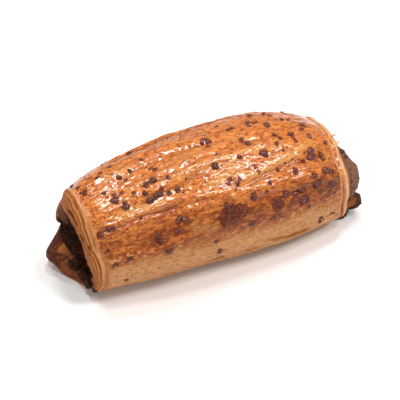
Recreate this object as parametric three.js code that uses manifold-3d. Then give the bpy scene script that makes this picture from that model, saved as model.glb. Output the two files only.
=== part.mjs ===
// A pain au chocolat: a sheet of laminated dough rolled round a chocolate filling and baked, with
// crumbs of chocolate on its glazed top. Millimetres, +Z up. X runs along the roll; the end whose
// dough runs out into a tongue is at -X. -Y is the front and +Y the back. The roll rests on z = 0
// and the origin is under its middle.
//
// Places on the roll are given by two numbers. `along` runs from -1 at the left rim to 1 at the
// right rim. `turn` is an angle in degrees round the roll: 0 is the base, 90 the back, 180 the top
// and 270 the front.
import * as THREE from 'three';
import { mergeVertices } from 'three/addons/utils/BufferGeometryUtils.js';
import Module from 'manifold-3d';

const wasm = await Module();
wasm.setup();

// ---- Driving dimensions ----
const SKIN_LENGTH = 102; // between the two rims, where the glazed skin ends
const CENTRE_SHIFT = -1.9; // of the skin's middle along X, so that the whole is centred
const HALF_WIDTH = 26.8; // of the fattest section
const HALF_HEIGHT = 26.0; // of the fattest section, before its base is pressed flat
const SQUARENESS = 2.05; // exponent of the section's superellipse, where 2 is an ellipse
const BASE_SINK = 0.9; // the section's centre stands this share of its half height above the base
const FATTEST = -0.05; // where along the roll it is fattest
const LEFT_END = { girth: 0.785, power: 1.75 }; // how far the roll has narrowed at each rim
const RIGHT_END = { girth: 0.81, power: 3.4 };
// Local swells of the skin; the negative ones are tucked in.
const SWELLS = [
  { height: -1.5, turn: 318, turnSpan: 26, along: -0.95, alongSpan: 0.3 },
  { height: 0.8, turn: 148, turnSpan: 26, along: -0.82, alongSpan: 0.25 },
  { height: -0.6, turn: 152, turnSpan: 24, along: 0.05, alongSpan: 0.25 },
  { height: 0.8, turn: 158, turnSpan: 26, along: 0.68, alongSpan: 0.25 },
  { height: 0.7, turn: 318, turnSpan: 20, along: 0.6, alongSpan: 0.3 },
];

// Broad folds in the skin: how high, how many round the roll, how they twist along it, and where.
const FOLDS = [
  { height: 0.45, round: 7, twist: 0.7, phase: 0.6 },
  { height: 0.3, round: 12, twist: -1.1, phase: 1.9 },
  { height: 0.35, round: 3, twist: 2.6, phase: 0.4 },
  { height: 0.3, round: 2, twist: 5, phase: 0 },
];

const BORE = { halfWidth: 14.6, halfHeight: 13.8 }; // of the hole that the filling lies in
const CLEARANCE = 0.45; // kept between the dough and the filling

// The rims: how far the wrap's inner edge, its lip, stands past the end of the skin.
const LEFT_LIP = { mean: 3, swing: 2.8, turn: 196 };
const RIGHT_LIP = { mean: 4.3, swing: 0.8, turn: 300 };
const LIP_WAVES = [
  { height: 0.3, round: 4, phase: 1 },
  { height: 0.15, round: 7, phase: 0 },
];
const LEFT_SQUARE = 1; // the rims are rounder the closer this exponent is to 1
const RIGHT_SQUARE = 1.6;
const LEAF_RELIEF = 0.4; // how far the edges of the dough's leaves stand out at the rims
const LEAVES = 12; // quarter waves of them in a rim

// Where the leaves of the left rim have parted: from, to, how deep, and at what angle of the rim.
const GASHES = [
  { from: 168, to: 206, depth: 2.2, at: 68 },
  { from: 212, to: 232, depth: 1.3, at: 68 },
  { from: 229, to: 248, depth: 1.3, at: 50 },
];
const GASH_WIDTH = 8; // degrees of the rim's rounding
const GASH_FADE = 10; // degrees round the roll over which a gash runs out

// The lobe at the left end: its reach past the skin, its sides, and how much thicker it is inside.
const TONGUE = { reach: 11.4, turn: 42, before: 48, after: 25, rise: 20, fall: 145, fill: 5 };
const TONGUE_ROOT = 12; // how far inside the left rim the tongue starts to thicken
const BUD = { reach: 3.2, turn: 96, span: 10 }; // a small lobe behind the tongue
const SCRAP = { at: [54.6, -15, 10.5], radii: [5.2, 2.6, 2.4] }; // a bit of dough at the right lip

// The filling's ends, past the plane where the skin ends.
const HOLLOW = { mean: 2.6, swing: 8.6, turn: 240, middle: 2 }; // it sinks in behind the left lip
const BULGE = { reach: 7.2, swing: 3.2, turn: 290, spread: 0.32, spreadTurn: 300, spreadSpan: 75 };
const SPILLS = [
  { at: [-55.4, 10.4, 25.8], radii: [4.4, 4, 4.4] }, // under the left lip, at the back
  { at: [59.4, -11, 6.6], radii: [4.6, 4.2, 3.2] }, // a knob low on the right bulge
  { at: [54, -9.4, 2], radii: [5.6, 4.4, 4.4] }, // and what has run down to the base
];

const AROUND = 48; // points round a section
const STATIONS = 25; // sections along the skin
const BORE_AROUND = 28;
const RIM_ANGLES = [14, 30, 45, 54, 62, 70, 80, 90]; // steps of the rounded rims, in degrees
const BULGE_ANGLES = [0, 20, 42, 62, 80]; // steps of the filling's swollen end, in degrees
const BULGE_FULLNESS = 0.6; // the swollen end is fuller the closer this exponent is to 0
const HOLLOW_SHARES = [0.1, 0.4, 0.7, 1]; // rings of the filling's sunken end, by radius
const BORE_OVERRUN = 30; // how far the cut for the bore runs out past the rims
const CRUMB_SUNK = 0.25; // share of its radius that a crumb's middle lies under the skin
const CRUMB_SIZES = [0.7, 1.15]; // of the crumbs in a cluster, as shares of its named radius
const CRUMB_SHAPES = [0.8, 1.2]; // a crumb's three radii, as shares of its own size

// Clusters of crumbs on the skin: turn, along, how many, how far they spread, and a crumb's radius.
const CLUSTERS = [
  [147, -0.99, 1, 0, 1.4],
  [162, -0.98, 1, 0, 1.1],
  [171, -0.95, 2, 1.4, 1.3],
  [185, -0.83, 1, 0, 1.4],
  [164, -0.79, 2, 1.8, 1.2],
  [158, -0.7, 1, 0, 1.3],
  [170, -0.72, 1, 0, 1.3],
  [148, -0.5, 1, 0, 1.5],
  [175, -0.59, 1, 0, 1.5],
  [176, -0.68, 1, 0, 1.7],
  [183, -0.65, 1, 0, 1.2],
  [169, -0.48, 1, 0, 1.2],
  [186, -0.45, 2, 1.3, 1.3],
  [194, -0.78, 1, 0, 1.5],
  [199, -0.79, 1, 0, 2],
  [196, -0.73, 2, 0.8, 1.3],
  [206, -0.74, 1, 0, 1.3],
  [211, -0.74, 2, 0.9, 1.7],
  [201, -0.65, 1, 0, 1.1],
  [198, -0.49, 1, 0, 2.1],
  [199, -0.55, 1, 0, 2],
  [206, -0.58, 1, 0, 1.8],
  [213, -0.56, 2, 0.9, 1.7],
  [212, -0.5, 2, 0.9, 1.9],
  [208, -0.46, 1, 0, 1.2],
  [203, -0.39, 2, 1.4, 1.2],
  [214, -0.42, 1, 0, 1.1],
  [214, -0.34, 2, 1.4, 1.2],
  [221, -0.89, 2, 1.1, 1.4],
  [225, -0.98, 1, 0, 1.9],
  [238, -0.42, 2, 0.8, 1.7],
  [240, -0.36, 1, 0, 1.6],
  [246, -0.44, 1, 0, 1.4],
  [245, -0.6, 1, 0, 1.4],
  [250, -0.58, 2, 1, 1.3],
  [263, -0.52, 1, 0, 1.3],
  [259, -0.92, 1, 0, 1.2],
  [257, -0.82, 1, 0, 1.4],
  [288, -0.84, 1, 0, 1.2],
  [176, 0.02, 4, 1.9, 1.4],
  [184, 0.02, 1, 0, 1.4],
  [196, 0.03, 1, 0, 1.1],
  [206, -0.02, 1, 0, 1.8],
  [205, 0.19, 1, 0, 1.6],
  [188, 0.28, 1, 0, 1.4],
  [194, 0.31, 1, 0, 1.5],
  [207, 0.39, 1, 0, 2.1],
  [216, 0.28, 1, 0, 1.7],
  [220, 0.29, 1, 0, 1.3],
  [223, 0.45, 1, 0, 1.2],
  [219, 0.06, 2, 0.9, 1.5],
  [223, 0.03, 1, 0, 1.3],
  [222, 0.13, 1, 0, 1.4],
  [225, 0.1, 1, 0, 1.4],
  [169, 0.27, 2, 1.2, 1.3],
  [159, 0.2, 1, 0, 1.3],
  [166, 0.43, 1, 0, 1.3],
  [174, 0.43, 2, 1.2, 1.2],
  [168, 0.5, 2, 1.2, 1.3],
  [176, 0.55, 3, 1.4, 1.3],
  [154, 0.5, 1, 0, 1.3],
  [155, 0.62, 1, 0, 1.4],
  [160, 0.65, 1, 0, 1.4],
  [172, 0.74, 2, 1.8, 1.3],
  [191, 0.55, 1, 0, 1.4],
  [196, 0.57, 1, 0, 1.4],
  [201, 0.52, 1, 0, 1.3],
  [208, 0.55, 1, 0, 1.2],
  [194, 0.68, 2, 1, 1.4],
  [200, 0.69, 2, 1.2, 1.4],
  [182, 0.83, 2, 1, 1.6],
  [188, 0.8, 1, 0, 1.5],
  [199, 0.83, 2, 1.4, 1.4],
  [205, 0.94, 1, 0, 1.5],
  [212, 0.77, 2, 0.9, 1.7],
  [217, 0.77, 3, 1.3, 1.7],
  [221, 0.71, 2, 1.6, 1.3],
  [219, 0.86, 3, 1.8, 1.4],
  [228, 0.59, 1, 0, 2],
  [237, 0.75, 2, 1, 1.8],
  [243, 0.74, 3, 1.2, 1.8],
  [251, 0.77, 2, 1.2, 1.5],
  [234, 0.87, 3, 2, 1.3],
  [246, 0.89, 3, 1.8, 1.4],
  [257, 0.86, 2, 1.8, 1.2],
  [232, 0.35, 1, 0, 1.5],
  [238, 0.31, 1, 0, 1.4],
  [240, 0.2, 3, 1.2, 1.5],
  [245, 0.47, 1, 0, 1.9],
  [248, 0.54, 1, 0, 1.6],
  [246, 0.6, 2, 1, 1.6],
  [255, 0.61, 3, 1.4, 1.8],
  [253, 0.5, 1, 0, 1.4],
  [264, 0.66, 1, 0, 1.2],
  [264, 0.17, 3, 1.3, 1.5],
  [264, 0.34, 1, 0, 1.3],
  [272, -0.12, 2, 1.6, 1.2],
  [286, -0.09, 2, 1.4, 1.2],
  [239, -0.03, 1, 0, 1.3],
  [289, 0.81, 2, 2.4, 1.1],
  [248, 0.03, 9, 3.4, 1.1],
  [252, 0.38, 5, 2.4, 1.2],
];
const SCATTER = { count: 20, turns: [70, 150], alongs: [-0.95, 0.95], sizes: [0.8, 1.4] }; // on the back

// ---- Small helpers ----
const radians = THREE.MathUtils.degToRad;
const { lerp, smoothstep } = THREE.MathUtils;
const cosine = (degrees) => Math.cos(radians(degrees));
const sine = (degrees) => Math.sin(radians(degrees));
const range = (count) => Array.from({ length: count }, (_, i) => i);
const hump = (distance, span) => Math.exp(-((distance / span) ** 2));
const sumOf = (numbers) => numbers.reduce((sum, number) => sum + number, 0);
// The signed difference of two angles, from -180 to 180 degrees.
const angleFrom = (turn, centre) => ((((turn - centre + 180) % 360) + 360) % 360) - 180;
const half = SKIN_LENGTH / 2;

// A repeatable draw from 0 to 1, the same on every run.
let drawState = 7;
function draw() {
  drawState = (drawState * 1664525 + 1013904223) % 4294967296;
  return drawState / 4294967296;
}

// ---- The roll's outer form ----
// How fat the roll is at a station, as a share of the fattest section.
function girth(along) {
  const end = along < FATTEST ? LEFT_END : RIGHT_END;
  const towards = Math.abs(along - FATTEST) / (along < FATTEST ? 1 + FATTEST : 1 - FATTEST);
  return 1 - (1 - end.girth) * towards ** end.power;
}

// How far the skin stands out from the smooth form.
function folds(turn, along) {
  const wave = (f) => f.height * Math.cos(f.round * radians(turn) + f.twist * along + f.phase);
  const near = (s) => hump(angleFrom(turn, s.turn), s.turnSpan) * hump(along - s.along, s.alongSpan);
  const swell = (s) => s.height * near(s);
  return sumOf([...FOLDS.map(wave), ...SWELLS.map(swell)]);
}

// The distance from a section's centre to an ellipse, along a ray at this turn of the skin.
const rayLength = (turn, across, upright) => Math.hypot(across * sine(turn), upright * cosine(turn));

// The distance from a section's centre to the skin, before the base is pressed flat.
function skinRadius(turn, along) {
  const corner = Math.abs(sine(turn)) ** SQUARENESS + Math.abs(cosine(turn)) ** SQUARENESS;
  const squared = corner ** (-1 / SQUARENESS);
  return girth(along) * squared * rayLength(turn, HALF_WIDTH, HALF_HEIGHT) + folds(turn, along);
}

const centreHeight = (along) => BASE_SINK * HALF_HEIGHT * girth(along);

// A point in the roll, no lower than a floor under the section.
function inRoll(turn, along, radius, x, floor = 0) {
  const ray = new THREE.Vector2(HALF_WIDTH * sine(turn), -HALF_HEIGHT * cosine(turn)).setLength(radius);
  return new THREE.Vector3(x + CENTRE_SHIFT, ray.x, Math.max(centreHeight(along) + ray.y, floor));
}

// How far the left end runs out past the skin, low at the back.
function tongue(turn) {
  const away = angleFrom(turn, TONGUE.turn);
  return TONGUE.reach * hump(away, away < 0 ? TONGUE.before : TONGUE.after);
}
const tongueShape = (angle) => sine(lerp(TONGUE.rise, TONGUE.fall, angle / 90));

// Where the skin ends at the left; at the right it ends in a plane.
const leftEdge = (turn) => -half - tongue(turn) * tongueShape(0);
const skinX = (turn, along) => lerp(leftEdge(turn), half, (along + 1) / 2);

// The distance from a section's centre to the bore. The tongue narrows it at the left.
function boreRadius(turn, x) {
  const tongueShare = tongue(turn) / TONGUE.reach;
  const fill = TONGUE.fill * tongueShare * smoothstep(-x, half - TONGUE_ROOT, half);
  return rayLength(turn, BORE.halfWidth, BORE.halfHeight) - fill;
}

// ---- The rims ----
function lipWaves(turn) {
  return sumOf(LIP_WAVES.map((w) => w.height * Math.cos(w.round * radians(turn) + w.phase)));
}
const leftLip = (turn) => LEFT_LIP.mean + LEFT_LIP.swing * cosine(turn - LEFT_LIP.turn) + lipWaves(turn);
const rightLip = (turn) => RIGHT_LIP.mean + RIGHT_LIP.swing * cosine(turn - RIGHT_LIP.turn) + lipWaves(turn);

function gashDepth(turn, angle) {
  const open = ({ from, to }) =>
    smoothstep(turn, from, from + GASH_FADE) * (1 - smoothstep(turn, to - GASH_FADE, to));
  return sumOf(GASHES.map((g) => g.depth * open(g) * hump(angle - g.at, GASH_WIDTH)));
}

// A rim turns from the skin (0 degrees) to the lip (90), and its leaves stand out as ridges.
function rimPoint(turn, side, angle, grow) {
  const outer = skinRadius(turn, side);
  const square = side < 0 ? LEFT_SQUARE : RIGHT_SQUARE;
  const wall = outer - boreRadius(turn, side * half);
  const radius = outer - wall * (1 - cosine(angle)) ** square + grow;
  const leaf = LEAF_RELIEF * cosine(angle * LEAVES) * sine(angle);
  if (side > 0) {
    return inRoll(turn, side, radius, half + rightLip(turn) * sine(angle) + leaf + grow, -grow);
  }
  const lobe = tongue(turn) * tongueShape(angle) + BUD.reach * hump(turn - BUD.turn, BUD.span) * sine(angle);
  const x = -half - leftLip(turn) * sine(angle) - lobe - leaf + gashDepth(turn, angle);
  return inRoll(turn, side, radius, x - grow, -grow);
}

// ---- Solids ----
function solidFrom(geometry) {
  geometry.deleteAttribute('normal');
  geometry.deleteAttribute('uv');
  const merged = mergeVertices(geometry, 1e-4);
  return new wasm.Manifold(
    new wasm.Mesh({
      numProp: 3,
      vertProperties: new Float32Array(merged.attributes.position.array),
      triVerts: new Uint32Array(merged.index.array),
    }),
  );
}

function geometryFrom(points, triangles) {
  const geometry = new THREE.BufferGeometry();
  const places = points.flatMap((p) => p.toArray());
  geometry.setAttribute('position', new THREE.Float32BufferAttribute(places, 3));
  geometry.setIndex(triangles.flat());
  return geometry;
}

// A solid through rings that follow each other along +X, closed by a point at each end.
function loft(rings) {
  const count = rings[0].length;
  const centreOf = (ring) => ring.reduce((sum, p) => sum.add(p), new THREE.Vector3()).divideScalar(count);
  const points = [...rings.flat(), centreOf(rings[0]), centreOf(rings.at(-1))];
  const first = rings.length * count;
  const last = first + 1;
  const at = (ring, k) => ring * count + (k % count);
  const triangles = [];
  for (const k of range(count)) {
    for (const i of range(rings.length - 1)) {
      triangles.push([at(i, k), at(i, k + 1), at(i + 1, k)]);
      triangles.push([at(i, k + 1), at(i + 1, k + 1), at(i + 1, k)]);
    }
    triangles.push([first, at(0, k + 1), at(0, k)]);
    triangles.push([last, at(rings.length - 1, k), at(rings.length - 1, k + 1)]);
  }
  return solidFrom(geometryFrom(points, triangles));
}

// A rounded lump. Its facets may be turned, so that the small ones don't look alike.
function lump(centre, radii, detail, facetTurns = [0, 0]) {
  const ball = new THREE.IcosahedronGeometry(1, detail);
  ball.rotateZ(facetTurns[0]);
  ball.rotateX(facetTurns[1]);
  ball.scale(...radii);
  ball.translate(...centre);
  return solidFrom(ball);
}
const grown = (radii, grow) => radii.map((radius) => radius + grow);

// The whole roll as one body, rims and tongue included.
function rollBody(grow = 0) {
  const ringAt = (pointAt) => range(AROUND).map((k) => pointAt((360 * k) / AROUND));
  const rim = (side) => RIM_ANGLES.map((angle) => ringAt((turn) => rimPoint(turn, side, angle, grow)));
  const skin = range(STATIONS).map((i) => {
    const along = (2 * i) / (STATIONS - 1) - 1;
    const point = (turn) => inRoll(turn, along, skinRadius(turn, along) + grow, skinX(turn, along), -grow);
    return ringAt(point);
  });
  return loft([...rim(-1).reverse(), ...skin, ...rim(1)]);
}

// A ring in the bore at x, drawn in from its wall by an inset and to a share of its radius.
function boreRing(x, inset, share = 1, shift = () => 0) {
  const along = THREE.MathUtils.clamp(x / half, -1, 1);
  return range(BORE_AROUND).map((k) => {
    const turn = (360 * k) / BORE_AROUND;
    return inRoll(turn, along, (boreRadius(turn, x) - inset) * share, x + shift(turn));
  });
}

// The bore runs out past both lips.
function bore(inset = 0) {
  const ends = [-half - BORE_OVERRUN, half + BORE_OVERRUN];
  const places = [ends[0], -half, -half + TONGUE_ROOT / 2, -half + TONGUE_ROOT, 0, half, ends[1]];
  return loft(places.map((x) => boreRing(x, inset)));
}

// ---- The chocolate crumbs ----
function crumbPlaces() {
  const places = [];
  const degreesPerMm = 180 / (Math.PI * HALF_WIDTH);
  for (const [turn, along, count, spread, size] of CLUSTERS) {
    for (const _ of range(count)) {
      const way = draw() * 360;
      const off = spread * Math.sqrt(draw());
      places.push({
        turn: turn + off * cosine(way) * degreesPerMm,
        along: along + (off * sine(way)) / half,
        size: size * lerp(...CRUMB_SIZES, draw()),
      });
    }
  }
  for (const _ of range(SCATTER.count)) {
    places.push({
      turn: lerp(...SCATTER.turns, draw()),
      along: lerp(...SCATTER.alongs, draw()),
      size: lerp(...SCATTER.sizes, draw()),
    });
  }
  return places;
}

function crumb({ turn, along, size }) {
  const radius = skinRadius(turn, along) - size * CRUMB_SUNK;
  const place = inRoll(turn, along, radius, skinX(turn, along));
  const radii = range(3).map(() => size * lerp(...CRUMB_SHAPES, draw()));
  const facetTurns = range(2).map(() => draw() * 2 * Math.PI);
  return lump(place.toArray(), radii, 0, facetTurns);
}

// ---- Putting the roll together ----
const crumbs = crumbPlaces().map(crumb);
const dough = wasm.Manifold.union([
  rollBody().subtract(bore()),
  lump(SCRAP.at, SCRAP.radii, 1),
  ...crumbs,
]);

// The filling runs through the bore, sinks in at the left and swells out at the right.
function filling() {
  const sunken = (share) => (turn) =>
    HOLLOW.mean + HOLLOW.middle * (1 - share) + HOLLOW.swing * share * cosine(turn - HOLLOW.turn);
  const swollen = (angle) => (turn) =>
    (rightLip(turn) + BULGE.reach + BULGE.swing * cosine(turn - BULGE.turn)) * sine(angle);
  const spread = (turn) => 1 + BULGE.spread * hump(angleFrom(turn, BULGE.spreadTurn), BULGE.spreadSpan);
  const bulgeRing = (angle) =>
    range(BORE_AROUND).map((k) => {
      const turn = (360 * k) / BORE_AROUND;
      const widened = lerp(1, spread(turn), Math.min(1, sine(angle) * 2));
      const radius = (boreRadius(turn, half) - CLEARANCE) * widened * cosine(angle) ** BULGE_FULLNESS;
      return inRoll(turn, 1, radius, half + swollen(angle)(turn));
    });
  const core = loft([
    ...HOLLOW_SHARES.map((share) => boreRing(-half, CLEARANCE, share, sunken(share))),
    ...[-half + TONGUE_ROOT * 1.2, 0, half * 0.8].map((x) => boreRing(x, CLEARANCE)),
    ...BULGE_ANGLES.map(bulgeRing),
  ]);
  const spills = SPILLS.map(({ at, radii }) => lump(at, radii, 1));
  const wrap = rollBody(CLEARANCE).subtract(bore(CLEARANCE * 0.8));
  const scrap = lump(SCRAP.at, grown(SCRAP.radii, CLEARANCE * 1.5), 1);
  const below = new THREE.BoxGeometry(4 * half, 4 * HALF_WIDTH, HALF_HEIGHT);
  const floor = solidFrom(below.translate(0, 0, -HALF_HEIGHT / 2));
  return wasm.Manifold.union([core, ...spills]).subtract(wrap).subtract(scrap).subtract(floor);
}

// ---- Materials and meshes ----
const crust = new THREE.MeshStandardMaterial({ color: 0xc47a3c, roughness: 0.35, metalness: 0 });
const chocolate = new THREE.MeshStandardMaterial({ color: 0x4a2a20, roughness: 0.6, metalness: 0 });

// The largest body of a solid, so that no loose scrap of a cut is left.
function largestOf(solid) {
  return solid.decompose().sort((p, q) => q.volume() - p.volume())[0];
}

function meshOf(name, solid, material) {
  const { vertProperties, triVerts } = largestOf(solid).getMesh();
  const geometry = new THREE.BufferGeometry();
  geometry.setAttribute('position', new THREE.BufferAttribute(vertProperties, 3));
  geometry.setIndex(new THREE.BufferAttribute(triVerts, 1));
  geometry.computeVertexNormals();
  const mesh = new THREE.Mesh(geometry, material);
  mesh.name = name;
  return mesh;
}

const pastry = new THREE.Group();
pastry.add(meshOf('dough', dough, crust));
pastry.add(meshOf('filling', filling(), chocolate));

export default pastry;
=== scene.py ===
# %% [markdown]
# # A pain au chocolat
#
# A sheet of laminated dough is rolled round a filling of chocolate, brushed with egg wash, strewn
# with crumbs of chocolate and baked. The solids of the pastry are already made at their real size.
# This lesson gives them their looks: a skin with folds, wrinkles and streaks, rims where the leaves
# of the dough show, crumbs that sit in the glaze, and the chocolate at both ends.
#
# The first cell loads the solids.

import math

import bmesh
import bpy
from mathutils import Euler, Matrix, Vector, kdtree, noise


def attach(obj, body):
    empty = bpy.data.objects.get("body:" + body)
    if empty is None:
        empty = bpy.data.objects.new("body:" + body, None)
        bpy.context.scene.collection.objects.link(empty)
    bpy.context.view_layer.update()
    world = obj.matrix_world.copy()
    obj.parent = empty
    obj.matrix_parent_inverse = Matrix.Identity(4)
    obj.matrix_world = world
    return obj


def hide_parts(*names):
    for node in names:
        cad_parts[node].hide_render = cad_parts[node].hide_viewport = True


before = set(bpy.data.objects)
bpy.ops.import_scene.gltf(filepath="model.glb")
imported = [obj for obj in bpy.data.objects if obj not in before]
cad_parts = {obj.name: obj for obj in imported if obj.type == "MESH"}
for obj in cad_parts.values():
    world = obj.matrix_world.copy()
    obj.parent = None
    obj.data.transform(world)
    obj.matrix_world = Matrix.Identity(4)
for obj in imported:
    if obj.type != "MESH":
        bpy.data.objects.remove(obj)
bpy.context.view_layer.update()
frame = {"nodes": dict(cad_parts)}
print("solids:", ", ".join(frame["nodes"]))

# %% [markdown]
# ## The form of the roll
#
# Every surface of the pastry follows one form, so it is written once, as a few rules. A place on the
# roll has two numbers: `along`, from -1 at the left rim to 1 at the right rim, and `turn`, an angle
# round the roll in degrees, with 0 at the base, 90 at the back, 180 on top and 270 at the front.
# The form could also be drawn by hand as a mesh, but rules keep the skin, the crumbs and the
# filling in step: when a size changes, all of them follow. Sizes are in millimetres here, and they
# are turned into metres only when a vertex is placed.

# %% Sizes of the roll, in millimetres
MM = 0.001  # a millimetre in metres
SKIN_LENGTH = 102.0  # between the two rims
HALF = SKIN_LENGTH / 2
CENTRE_SHIFT = -1.9  # of the skin's middle along X
HALF_WIDTH = 26.8  # of the fattest section
HALF_HEIGHT = 26.0
SQUARENESS = 2.05  # exponent of the section's superellipse
BASE_SINK = 0.9  # height of the section's centre, as a share of its half height
FATTEST = -0.05  # where along the roll the fattest section is
LEFT_END = {"girth": 0.785, "power": 1.75}  # girth at the rim, and how late the roll tapers to it
RIGHT_END = {"girth": 0.81, "power": 3.4}
FOLDS = [  # height, how many round the roll, twist along it, phase
    (0.45, 7, 0.7, 0.6),
    (0.3, 12, -1.1, 1.9),
    (0.35, 3, 2.6, 0.4),
    (0.3, 2, 5.0, 0.0),
]
SWELLS = [  # height, turn and its span, along and its span
    (-1.5, 318, 26, -0.95, 0.3),
    (0.8, 148, 26, -0.82, 0.25),
    (-0.6, 152, 24, 0.05, 0.25),
    (0.8, 158, 26, 0.68, 0.25),
    (0.7, 318, 20, 0.6, 0.3),
]
BORE = {"half_width": 14.6, "half_height": 13.8}  # the hole that the filling lies in
# The tongue's reach, the turn it lies at and how far it spreads before and after that, the part of a
# half wave that it follows from skin to lip, and how far it fills the hole behind it.
TONGUE = {"reach": 11.4, "turn": 42, "before": 48, "after": 25, "rise": 20, "fall": 145, "fill": 5}
TONGUE_ROOT = 12.0  # how deep in the hole its dough begins
print(f"the skin is {SKIN_LENGTH:.0f} mm long and about {2 * HALF_WIDTH:.0f} mm wide")


# %% Small helpers
def lerp(low, high, share):
    return low + (high - low) * share


def smoothstep(value, low, high):
    share = min(1.0, max(0.0, (value - low) / (high - low)))
    return share * share * (3 - 2 * share)


def hump(distance, span):
    return math.exp(-((distance / span) ** 2))


def sine(degrees):
    return math.sin(math.radians(degrees))


def cosine(degrees):
    return math.cos(math.radians(degrees))


def angle_from(turn, centre):
    """The signed difference of two angles, from -180 to 180 degrees."""
    return (turn - centre + 180) % 360 - 180


print("from 350 to 10 degrees is", angle_from(10, 350), "degrees")


# %% Rules for the form
def girth(along):
    """How fat the roll is at a station, as a share of the fattest section."""
    end = LEFT_END if along < FATTEST else RIGHT_END
    towards = abs(along - FATTEST) / (1 + FATTEST if along < FATTEST else 1 - FATTEST)
    return 1 - (1 - end["girth"]) * towards ** end["power"]


def folds(turn, along):
    """How far the broad folds stand out from the smooth form."""
    t = math.radians(turn)
    waves = sum(h * math.cos(n * t + twist * along + phase) for h, n, twist, phase in FOLDS)
    swells = sum(
        h * hump(angle_from(turn, at), span) * hump(along - x, x_span) for h, at, span, x, x_span in SWELLS
    )
    return waves + swells


def ray_length(turn, across, upright):
    """From the middle of an oval to its edge, where across and upright are its half sizes."""
    return math.hypot(across * sine(turn), upright * cosine(turn))


def skin_radius(turn, along):
    """From a section's centre to the skin, before the base is pressed flat."""
    corner = abs(sine(turn)) ** SQUARENESS + abs(cosine(turn)) ** SQUARENESS
    squared = corner ** (-1 / SQUARENESS)
    return girth(along) * squared * ray_length(turn, HALF_WIDTH, HALF_HEIGHT) + folds(turn, along)


def in_roll(turn, along, radius, x):
    """A point of the roll, no lower than what it stands on."""
    across, upright = HALF_WIDTH * sine(turn), -HALF_HEIGHT * cosine(turn)
    scale = radius / math.hypot(across, upright)
    z = BASE_SINK * HALF_HEIGHT * girth(along) + upright * scale
    return Vector((x + CENTRE_SHIFT, across * scale, max(z, 0.0)))


def tongue(turn):
    """How far the left end runs out, low at the back."""
    away = angle_from(turn, TONGUE["turn"])
    return TONGUE["reach"] * hump(away, TONGUE["before"] if away < 0 else TONGUE["after"])


def tongue_shape(angle):
    """How much of the tongue's reach a point of the rim has, on its way from skin to lip."""
    return sine(lerp(TONGUE["rise"], TONGUE["fall"], angle / 90))


def skin_x(turn, along):
    return lerp(-HALF - tongue(turn) * tongue_shape(0), HALF, (along + 1) / 2)


def bore_radius(turn, x):
    """From a section's centre to the hole that the filling lies in. The tongue narrows it."""
    fill = TONGUE["fill"] * tongue(turn) / TONGUE["reach"] * smoothstep(-x, HALF - TONGUE_ROOT, HALF)
    return ray_length(turn, BORE["half_width"], BORE["half_height"]) - fill


widest = skin_radius(90, FATTEST)
print(f"the skin reaches {widest:.1f} mm from the middle at its fattest")


# %% [markdown]
# ## Grain
#
# Pastry is never smooth. Its unevenness comes from a noise that is the same on every run. A noise
# in space could be used as it is, but the dough was stretched along the roll when it was rolled, so
# `grain` squeezes the noise's X: its marks come out long and thin, like the fibres of the crust.


# %% Noise that follows the roll
def grain(point, size, stretch=1.0, seed=0.0):
    """Smooth noise from -1 to 1 with marks about `size` mm wide and `stretch` times as long."""
    place = Vector((point.x / (size * stretch), point.y / size, point.z / size + seed))
    return noise.noise(place)


def crests(point, size, stretch=1.0, seed=0.0, sharpness=2.2):
    """The same noise folded over, so that it has sharp crests: 0 between them and 1 on them."""
    return 1 - min(1.0, sharpness * abs(grain(point, size, stretch, seed)))


probe = [grain(Vector((i * 1.7, 0.3, 0.9)), 2.0) for i in range(200)]
print(f"grain runs from {min(probe):.2f} to {max(probe):.2f}")


# %% [markdown]
# ## Wiring a finish
#
# A finish is a small web of nodes. Wiring each node by hand hides what the finish says, so a socket
# is wrapped in a class whose sums add Math nodes: `0.3 + 0.4 * spots` reads as what it does. Colours
# are mixed and vectors are scaled by their own nodes. Every other node comes from `Finish.node`,
# which takes the node's kind, its settings, and what its sockets hold.


# %% Sockets that can be added and multiplied
def colour(red, green, blue):
    """A colour as a screen shows it, from 0 to 255, made linear for the shader."""
    linear = [((v / 255 + 0.055) / 1.055) ** 2.4 if v > 10 else v / 255 / 12.92 for v in (red, green, blue)]
    return (*linear, 1.0)


class Wire:
    """A number that comes out of a node."""

    def __init__(self, finish, socket):
        self.finish = finish
        self.socket = socket

    def _maths(self, operation, first, second, clamp=False):
        settings = {"operation": operation, "use_clamp": clamp}
        return self.finish.node("ShaderNodeMath", settings, {0: first, 1: second})

    def __add__(self, other):
        return self._maths("ADD", self, other)

    __radd__ = __add__

    def __mul__(self, other):
        return self._maths("MULTIPLY", self, other)

    __rmul__ = __mul__

    def __sub__(self, other):
        return self._maths("SUBTRACT", self, other)

    def __rsub__(self, other):
        return self._maths("SUBTRACT", other, self)

    def clamped(self):
        return self._maths("ADD", self, 0.0, clamp=True)


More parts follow.
